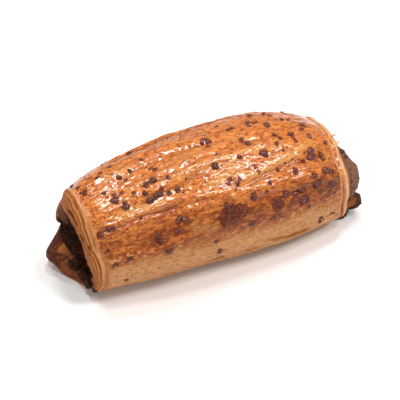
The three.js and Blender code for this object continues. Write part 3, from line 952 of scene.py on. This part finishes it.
# %% Colours of the glazed top
def glazed_top(crust, fibres, streaks, spots, clouds):
    flecks = crust.between(crust.speckle(1.5, 1.5, detail=3, waver=1.0), 0.57, 0.66)
    threads = crust.between(crust.speckle(0.6, 4.5, detail=1, waver=0.6), 0.53, 0.66)
    # the bake mark darkens the low band above the glaze's edge: partly the oven's browning, partly painted
    # shade
    baked_and_shaded = crust.measure("bake_and_shade") * (0.5 + 0.9 * crust.between(streaks + 0.4 * clouds, 0.6, 0.82))
    edge = crust.between(crust.measure("above"), 5.0, 0.5) * crust.between(spots, 0.42, 0.58)
    stretched = crust.measure("pale") * crust.between(fibres + 0.8 * streaks, 0.5, 1.1)
    return crust.layered(
        colour(206, 113, 39),
        (crust.between(streaks, 0.38, 0.62), (146, 60, 14)),
        (crust.between(clouds, 0.44, 0.7) * 0.6, (138, 54, 13)),
        (fibres * 0.75, (230, 144, 70)),
        (threads * 0.75, (132, 50, 10)),
        (baked_and_shaded.clamped() * 0.85, (108, 43, 7)),
        (crust.between(spots, 0.52, 0.66) * 0.5, (122, 45, 13)),
        (flecks * 0.6, (104, 36, 12)),
        (edge * 0.75, (118, 46, 12)),
        (stretched.clamped() * 0.9, (209, 152, 87)),
        # creases painted darker: painted shade in their grooves
        ((crust.measure("crease") * 0.9).clamped(), (129, 52, 15)),
    )


# %% Colours of the dull side and the cut ends
def dull_side(crust, fibres, streaks, spots):
    pores = crust.between(crust.speckle(0.7, 1.8, detail=2), 0.5, 0.62)
    edge = crust.between(crust.measure("above"), -9, -0.5) * crust.between(spots + 0.5 * streaks, 0.52, 0.8)
    return crust.layered(
        colour(195, 137, 89),
        (crust.between(spots, 0.4, 0.62), (144, 82, 42)),
        (pores * 0.65, (140, 80, 44)),
        (fibres * 0.7, (208, 156, 108)),
        (edge * 0.85, (154, 76, 29)),
        (crust.measure("grease"), (149, 85, 15)),
    )


def cut_ends(crust, streaks, spots):
    layer, leaf = crust.measure("layer"), crust.measure("leaf")
    scorched = crust.measure("scorch") * (0.6 + 0.6 * crust.between(spots, 0.35, 0.55))
    return crust.layered(
        colour(152, 81, 35),
        (crust.between(leaf + streaks, 0.1, 1.1), (189, 130, 77)),
        (crust.between(spots, 0.45, 0.7) * 0.6, (142, 71, 29)),
        # darker in the troughs between the leaves: painted shade
        (crust.between(leaf, -0.35, -0.9) * 0.7, (117, 55, 18)),
        (crust.between(layer, 1.0, 3.0) * 0.35, (158, 86, 35)),
        (crust.measure("lip") * 0.6, (173, 107, 50)),
        # darker where the leaves have parted: painted shade in the gashes
        ((crust.measure("gash") * 0.6).clamped(), (71, 31, 5)),
        (scorched.clamped(), (80, 34, 22)),
        # dark inside the hole and at the inner lip: chocolate stain with painted shade
        (crust.measure("inside") * 0.9, (48, 21, 10)),
    )


# %% [markdown]
# The gloss comes from the egg wash, so it is a clear coat that goes with the glaze. It is thickest on
# the top, where the brush laid most, and it breaks on fine wrinkles. The dough under it is nearly
# dull, or else the pale floor would show in its dark parts as a haze. Round each crumb the glaze has
# taken up chocolate, and where a crumb has melted its patch has a crisp, frayed edge.


# %% Crust finish
def crust_finish():
    crust = Finish("crust")
    rim, melt = crust.measure("rim"), crust.measure("melt")
    fibres = crust.ridges(crust.speckle(0.9, 2.8, detail=2, waver=1.2))
    streaks = crust.speckle(1.7, 2.6, detail=4, roughness=0.6, waver=0.8)
    clouds = crust.speckle(8, 1.6, detail=3)
    spots = crust.speckle(1.5, 1.3, detail=4, roughness=0.65)

    ragged = crust.measure("above") + 7 * (spots - 0.5) + 5 * (streaks - 0.5)
    glaze = (1 - rim) * crust.between(ragged, -1.0, 1.2) + rim * crust.measure("glaze")
    top = glazed_top(crust, fibres, streaks, spots, clouds)
    skin = crust.mix(glaze, dull_side(crust, fibres, streaks, spots), top)
    skin = crust.mix(rim * crust.between(glaze, 0.9, 0.2), skin, cut_ends(crust, streaks, spots))
    halo = crust.between(crust.measure("stain") + 0.6 * (spots - 0.5), 0.45, 0.8)
    frayed = crust.speckle(0.9, 1.3, detail=3)
    melted = crust.between(0.85 * melt + 2.4 * (frayed - 0.5), 0.42, 0.62)
    skin = crust.layered(
        skin,
        (crust.measure("edge") * 0.85, (222, 172, 128)),
        (halo * 0.7, (98, 32, 8)),
        (melted * 0.85, (86, 30, 15)),
    )

    shine = (glaze * (1 - 0.5 * melt)).clamped()
    high = crust.between(crust.measure("above"), 4, 20)
    return crust.wear(
        Base_Color=skin,
        Roughness=0.62 - shine * (0.28 + 0.18 * high),
        Normal=crust.bump(0.8 * fibres + 0.8 * streaks + 0.35 * spots, 0.2),
        Specular_IOR_Level=0.1,
        Coat_Weight=shine * (0.25 + 0.6 * high),
        Coat_Roughness=0.15,
    )


wrap.data.materials.append(crust_finish())
print("nodes of the crust:", len(wrap.data.materials[0].node_tree.nodes))

# %% [markdown]
# ## The crumbs
#
# A crumb is a small broken bit of chocolate. A ball would look like a bead, so each crumb is a
# few grains: one main ball of eighty faces whose points are pushed in and out, and two smaller
# ones stuck to its sides. All of them are one mesh. Some crumbs are dusty and grey-brown,
# and some have melted under the glaze and are dark red and glassy, so each carries its tone.

# %% Grains
GRAINS = 2  # smaller grains on each crumb
GRAIN_SIZES = {"crumb": 0.9, "main": 0.76, "small": 0.58, "smaller_by": 0.08}
GRAIN_PLACES = {"swing": 2.2, "aside": 0.5}  # from one to the next in radians, and from the middle


def add_grain(place, turned, radii, marks, seed, subdivisions=2):
    """One grain at a place in mm. marks are its tone and how dark it is."""
    squeeze = Matrix.Diagonal((*(radius * MM for radius in radii), 1.0))
    set_down = Matrix.Translation(place * MM) @ turned.to_matrix().to_4x4() @ squeeze
    made = bmesh.ops.create_icosphere(handful, subdivisions=subdivisions, radius=1.0)
    shift = Vector((seed * 0.37, seed * 0.11, 0))
    for vert in made["verts"]:
        lumpy = 1 + 0.2 * noise.noise(vert.co + shift) + 0.24 * noise.noise(vert.co * 2.6 + shift)
        vert.co = set_down @ (vert.co * lumpy)
        vert[handful.verts.layers.float["tone"]], vert[handful.verts.layers.float["deep"]] = marks


def on_skin(turn, along, size):
    """Where the middle of a crumb lies when it sits in the skin."""
    relief = skin_relief(turn, along, above_glaze_edge(turn, along), 0.0)
    radius = skin_radius(turn, along) + 0.7 * relief - size * CRUMB_SUNK
    return in_roll(turn, along, radius, skin_x(turn, along))


def new_handful():
    """An empty mesh whose points can carry a tone and how dark they are."""
    empty = bmesh.new()
    empty.verts.layers.float.new("tone")
    empty.verts.layers.float.new("deep")
    return empty


def strew():
    """Adds the handful to what is strewn and gives an empty one: a small mesh grows faster."""
    scoop = bpy.data.meshes.new("scoop")
    handful.to_mesh(scoop)
    handful.free()
    strewn.from_mesh(scoop)
    bpy.data.meshes.remove(scoop)
    return new_handful()


strewn = new_handful()
handful = new_handful()
print("grains on", len(crumb_list), "crumbs:", (GRAINS + 1) * len(crumb_list))

# %% Make the crumbs
for number, (turn, along, size) in enumerate(crumb_list):
    place = on_skin(turn, along, size)
    radii = [GRAIN_SIZES["crumb"] * size * lerp(*CRUMB_SHAPES, draw()) for _ in range(3)]
    turned = Euler((draw() * 2 * math.pi, 0, draw() * 2 * math.pi))
    glassy = noise.noise(Vector((along * 3 + 4, turn / 40, 1))) + noise.noise(Vector((number * 0.77, 0, 5)))
    dark = 0.5 + 0.5 * noise.noise(Vector((number * 1.3, 2, 0)))
    marks = (smoothstep(glassy + 0.5 * along, -0.45, 0.15), dark)
    add_grain(place, turned, [GRAIN_SIZES["main"] * radius for radius in radii], marks, number)
    for grain_number in range(GRAINS):
        swing = GRAIN_PLACES["swing"] * grain_number + number
        aside = turn + GRAIN_PLACES["aside"] * size * math.cos(swing) / MM_PER_DEGREE
        ahead = along + GRAIN_PLACES["aside"] * size * math.sin(swing) / HALF
        share = GRAIN_SIZES["small"] - GRAIN_SIZES["smaller_by"] * grain_number
        small = [radius * share for radius in radii]
        add_grain(on_skin(aside, ahead, small[0]), turned, small, marks, number + 50 * grain_number)
    handful = strew()
print("faces of the crumbs:", len(strewn.faces))

# %% [markdown]
# Specks are the dust of the same chocolate, too small to be in the solids. They could be spots of
# colour, but at this size they still catch the light, so they are balls of twenty faces. They lie
# thickest where chocolate has melted. A few crumbs lie loose at the ends.

# %% Specks and fallen crumbs
SPECKS = {"count": 260, "turns": (95, 262), "alongs": (-0.97, 0.97), "sizes": (0.25, 0.6), "tone": 0.9}
MELT_GRAINS = {"per_area": 1.2, "sizes": (0.3, 0.75)}
FALLEN = [  # place and radius, in mm
    (-53.2, -9.8, 1.2, 1.5),
    (-50.4, -7.0, 0.8, 1.0),
    (56.6, -6.2, 29.8, 1.4),
    (58.2, -7.4, 27.4, 1.1),
    (57.2, -8.8, 29.0, 0.9),
]
for number in range(SPECKS["count"]):
    turn = lerp(*SPECKS["turns"], draw())
    along = lerp(*SPECKS["alongs"], draw())
    size = lerp(*SPECKS["sizes"], draw() ** 2)
    flat = [size, size, 0.7 * size]
    turned = Euler((draw() * 6, 0, 0))
    add_grain(on_skin(turn, along, size), turned, flat, (SPECKS["tone"], draw()), number, 1)
for at, x, half_width, half_length, strength in MELTS:
    for number in range(round(MELT_GRAINS["per_area"] * half_width * half_length * strength)):
        way, off = draw() * 2 * math.pi, math.sqrt(draw())
        turn = at + off * half_width * math.cos(way) / MM_PER_DEGREE
        along = x + off * half_length * math.sin(way) / HALF
        size = lerp(*MELT_GRAINS["sizes"], draw())
        turned = Euler((draw() * 6, 0, 0))
        add_grain(on_skin(turn, along, size), turned, [size] * 3, (draw(), draw()), number, 1)
    handful = strew()
for x, y, z, size in FALLEN:
    add_grain(Vector((x, y, z)), Euler((0.4, 0, x)), [size, 0.8 * size, 0.8 * size], (0.2, 0.9), x)
handful = strew()
handful.free()
crumbs = finished(strewn, "chocolate_crumbs", "dough")
print("faces of crumbs and specks:", len(crumbs.data.polygons))


# %% [markdown]
# A crumb that lay open is brown and a little dusty. One that sank into the glaze is dark red, like
# glass over wood. Both have a thin clear coat with a very smooth face, because a small sharp glint
# on a dark ground is what makes chocolate look melted.


# %% Crumb finish
def crumb_finish():
    choc = Finish("crumb_chocolate")
    tone, deep = choc.measure("tone"), choc.measure("deep")
    grains = choc.between(choc.speckle(0.5, 1, detail=3), 0.36, 0.64)
    dusty = choc.mix(grains, colour(64, 28, 12), colour(112, 60, 32))
    glassy = choc.mix(grains, colour(78, 18, 4), colour(128, 42, 11))
    brown = choc.mix(deep * 0.5, choc.mix(tone, dusty, glassy), colour(40, 14, 6))
    return choc.wear(
        Base_Color=brown,
        Roughness=0.4 - 0.16 * tone,
        Normal=choc.bump(grains, 0.08),
        Specular_IOR_Level=0.1,
        Coat_Weight=0.5 + 0.3 * tone,
        Coat_Roughness=0.06,
    )


crumbs.data.materials.append(crumb_finish())
print("nodes of the crumbs' finish:", len(crumbs.data.materials[0].node_tree.nodes))

# %% [markdown]
# ## The filling
#
# The filling runs through the roll. At the left it has sunk in and broken into a crumbly face, and
# at the right it swells out over the lip. It is a ball whose lines of latitude become the rings of
# the filling, from the middle of the left face, along the hole, to the middle of the right end. A
# ball is closed at both ends, so the filling is too. What was squeezed out, in lumps under the left
# lip, on the tongue's root and low at the right, is balls that are sunk into it and roughened.

# %% Sizes of the filling's ends
CLEARANCE = 0.45  # between the filling and its hole
HOLLOW = {"mean": 2.6, "swing": 8.6, "turn": 240, "middle": 2.0}
BULGE = {"reach": 7.2, "swing": 3.2, "turn": 290, "spread": 0.32, "spread_turn": 300, "spread_span": 75}
BULGE_FULLNESS = 0.6
SPILLS = [  # place and radii in mm, and how dusty it is
    ((-55.4, 10.2, 26.0), (4.0, 3.8, 4.0), 1.0),
    ((59.4, -11, 6.6), (4.6, 4.2, 3.2), 0.45),
    ((54, -9.4, 2), (5.6, 4.4, 4.4), 0.35),
    ((-56.6, 1.8, 6.6), (3.0, 3.6, 2.6), 0.1),
    ((-55.4, -4.0, 5.0), (2.4, 3.4, 2.6), 0.1),
    ((-55.8, -9.4, 5.0), (1.8, 2.8, 2.2), 0.1),
]
FILLING_AROUND = 160
FACE_RINGS = 34
BODY_RINGS = 9
BULGE_RINGS = 44
BODY_SPAN = (-HALF + TONGUE_ROOT * 1.2, HALF * 0.9)

face_rings = [("face", share) for share in steps(FACE_RINGS, 0.02, 1)]
body_rings = [("body", lerp(*BODY_SPAN, i / (BODY_RINGS - 1))) for i in range(BODY_RINGS)]
bulge_rings = [("bulge", angle) for angle in steps(BULGE_RINGS, 0, 88)]
filling_rings = face_rings + body_rings + bulge_rings
print("the filling has", len(filling_rings), "rings")


# %% Rules for the filling
def filling_place(kind, value, turn):
    """A point of the filling, in mm, before it is roughened."""
    if kind == "face":
        share = value
        tilt = HOLLOW["swing"] * share * cosine(turn - HOLLOW["turn"])
        sunk = HOLLOW["mean"] + HOLLOW["middle"] * (1 - share) + tilt
        return in_roll(turn, -1, (bore_radius(turn, -HALF) - CLEARANCE) * share, -HALF + sunk)
    if kind == "body":
        along = value / HALF
        return in_roll(turn, along, bore_radius(turn, value) - CLEARANCE, value)
    swollen = lip(turn, RIGHT_LIP) + BULGE["reach"] + BULGE["swing"] * cosine(turn - BULGE["turn"])
    spread = 1 + BULGE["spread"] * hump(angle_from(turn, BULGE["spread_turn"]), BULGE["spread_span"])
    widened = lerp(1, spread, min(1.0, sine(value) * 2))
    radius = (bore_radius(turn, HALF) - CLEARANCE) * widened * cosine(value) ** BULGE_FULLNESS
    return in_roll(turn, 1, radius, HALF + swollen * sine(value))


def lumps(point, size):
    """Round lumps that touch: 1 in their middles and 0 or less where they meet."""
    return 1 - 1.5 * noise.voronoi(point / size)[0][0]


def crumbly(point, strength):
    """How far a point of broken chocolate stands out, in mm."""
    coarse = 0.8 * lumps(point, 3.2) + 0.45 * lumps(point, 1.5) + 0.6 * grain(point, 5.5, 1, 67)
    return strength * (coarse - 0.5)


print("the left face's middle lies at", [round(v, 1) for v in filling_place("face", 0.02, 0)], "mm")

# %% Make the filling
core = bmesh.new()
ring_count = len(filling_rings)
bmesh.ops.create_uvsphere(core, u_segments=FILLING_AROUND, v_segments=ring_count + 1, radius=1.0)
dust_layer = core.verts.layers.float.new("dust")
for vert in core.verts:
    ring = round(math.acos(max(-1.0, min(1.0, vert.co.z))) / math.pi * (ring_count + 1)) - 1
    turn = math.degrees(math.atan2(vert.co.y, vert.co.x)) % 360
    if 0 <= ring < ring_count:
        kind, value = filling_rings[ring]
        point = filling_place(kind, value, turn)
    else:
        kind = "face" if ring < 0 else "bulge"
        value = filling_rings[0][1] if ring < 0 else 90
        point = filling_place(kind, value, 0) * 0.5 + filling_place(kind, value, 180) * 0.5
    if kind == "face":
        point.x -= crumbly(point, 2.6) * smoothstep(1.02 - value, 0, 0.2)
    if kind == "bulge":
        point.x += crumbly(point, 0.5) * smoothstep(value, 6, 30)
    vert.co = point * MM
    vert[dust_layer] = 0.0 if kind == "face" else 1.0

for centre, radii, dusty in SPILLS:
    made = bmesh.ops.create_icosphere(core, subdivisions=5, radius=1.0)
    for vert in made["verts"]:
        vert[dust_layer] = dusty * (0.4 + 0.6 * max(0.0, vert.co.z))
        point = Vector(centre) + Vector(vert.co[i] * radii[i] for i in range(3))
        point += vert.co.normalized() * crumbly(point, 0.9)
        point.z = max(point.z, 0.0)
        vert.co = point * MM
bmesh.ops.recalc_face_normals(core, faces=core.faces)
filling = finished(core, "chocolate_filling", "filling")
print("filling faces:", len(filling.data.polygons))


# %% [markdown]
# The broken face at the left is nearly black: dark chocolate, painted darker still as painted shade
# of the hollow behind the lip, with brown specks where its crumbs catch the light, partly the
# chocolate's own crumbs and partly a painted highlight. The skin of the bulge and of the lumps is
# paler, like milk chocolate, because it dried in the oven.


# %% Filling finish
def filling_finish():
    choc = Finish("filling_chocolate")
    dust = choc.measure("dust")
    grains = choc.speckle(0.6, 1, detail=3, roughness=0.6)
    lumpy = choc.speckle(2.2, 1, detail=3)
    # the left face: dark chocolate with painted shade of the hollow; its brown specks are partly a painted
    # highlight
    dark = choc.mix(choc.between(grains, 0.46, 0.66), colour(22, 8, 3), colour(94, 48, 28))
    milk = choc.mix(choc.between(grains + 0.4 * lumpy, 0.5, 0.85), colour(94, 56, 40), colour(142, 98, 78))
    return choc.wear(
        Base_Color=choc.mix(dust, dark, milk),
        Roughness=0.6,
        Normal=choc.bump(grains + 0.6 * lumpy, 0.8),
        Specular_IOR_Level=0.08,
    )


filling.data.materials.append(filling_finish())
print("nodes of the filling's finish:", len(filling.data.materials[0].node_tree.nodes))

# %% [markdown]
# ## The stage
#
# A pale floor takes the pastry's shadow. One large cloth box above would light the pastry softly, but
# it would also lay a milky film on the glaze. So seven small lamps hang above it, each where its
# glint falls on a part of the skin that shines, and together their shadows are soft. A large weak
# box at the left fills the low side and the open end. The camera looks down from the front left, as
# the pastry was seen.

# %% Floor
flat_sheet = bmesh.new()
bmesh.ops.create_grid(flat_sheet, x_segments=1, y_segments=1, size=3.0)
floor = new_object(flat_sheet, "floor")
paper = Finish("paper")
floor.data.materials.append(paper.wear(Base_Color=colour(250, 249, 247), Roughness=0.8))
print("the floor is", round(floor.dimensions.x, 1), "m wide")


# %% Lights
def add_light(name, place, aim, side, power):
    """A square lamp that points at a place, in metres and watts."""
    lamp = bpy.data.lights.new(name, "AREA")
    lamp.shape = "SQUARE"
    lamp.size = side
    lamp.energy = power
    light = bpy.data.objects.new(name, lamp)
    light.location = place
    light.rotation_euler = (Vector(place) - Vector(aim)).to_track_quat("Z", "Y").to_euler()
    bpy.context.scene.collection.objects.link(light)


AIM = (0, 0, 0.02)  # the middle of the pastry, in metres
KEY = {"height": 0.5, "side": 0.08, "power": 0.68}
KEY_PLACES = [
    (-0.11, 0.36),
    (-0.12, -0.03),
    (0.04, 0.1),
    (0.13, -0.2),
    (0.27, -0.3),
    (0.42, -0.3),
    (0.2, 0.06),
]
FILL = {"place": (-0.62, -0.45, 0.3), "side": 0.6, "power": 1.9}
WORLD_STRENGTH = 0.24

for number, (x, y) in enumerate(KEY_PLACES):
    add_light(f"key_{number}", (x, y, KEY["height"]), AIM, KEY["side"], KEY["power"])
add_light("fill", FILL["place"], AIM, FILL["side"], FILL["power"])

world = bpy.data.worlds.new("studio")
bpy.context.scene.world = world
world.use_nodes = True
backdrop = world.node_tree.nodes["Background"]
backdrop.inputs["Color"].default_value = (1, 1, 1, 1)
backdrop.inputs["Strength"].default_value = WORLD_STRENGTH
print("lamps above the pastry:", len(KEY_PLACES))

# %% Camera
CAMERA = {"azimuth": -25.3, "elevation": 40.5, "distance": 0.637, "aim": (-0.00347, 0.0, 0.0214)}
SENSOR_WIDTH = 36.0  # mm
FOCAL_SHARE = 1610 / 400  # focal length as a share of the picture's width

camera_data = bpy.data.cameras.new("camera")
camera_data.sensor_width = SENSOR_WIDTH
camera_data.lens = SENSOR_WIDTH * FOCAL_SHARE
camera = bpy.data.objects.new("camera", camera_data)
back = Vector(
    (
        sine(CAMERA["azimuth"]) * cosine(CAMERA["elevation"]),
        -cosine(CAMERA["azimuth"]) * cosine(CAMERA["elevation"]),
        sine(CAMERA["elevation"]),
    )
)
camera.location = Vector(CAMERA["aim"]) + back * CAMERA["distance"]
camera.rotation_euler = back.to_track_quat("Z", "Y").to_euler()
bpy.context.scene.collection.objects.link(camera)
bpy.context.scene.camera = camera
bpy.context.scene.view_settings.view_transform = "Standard"
print("camera at", [round(v, 3) for v in camera.location])
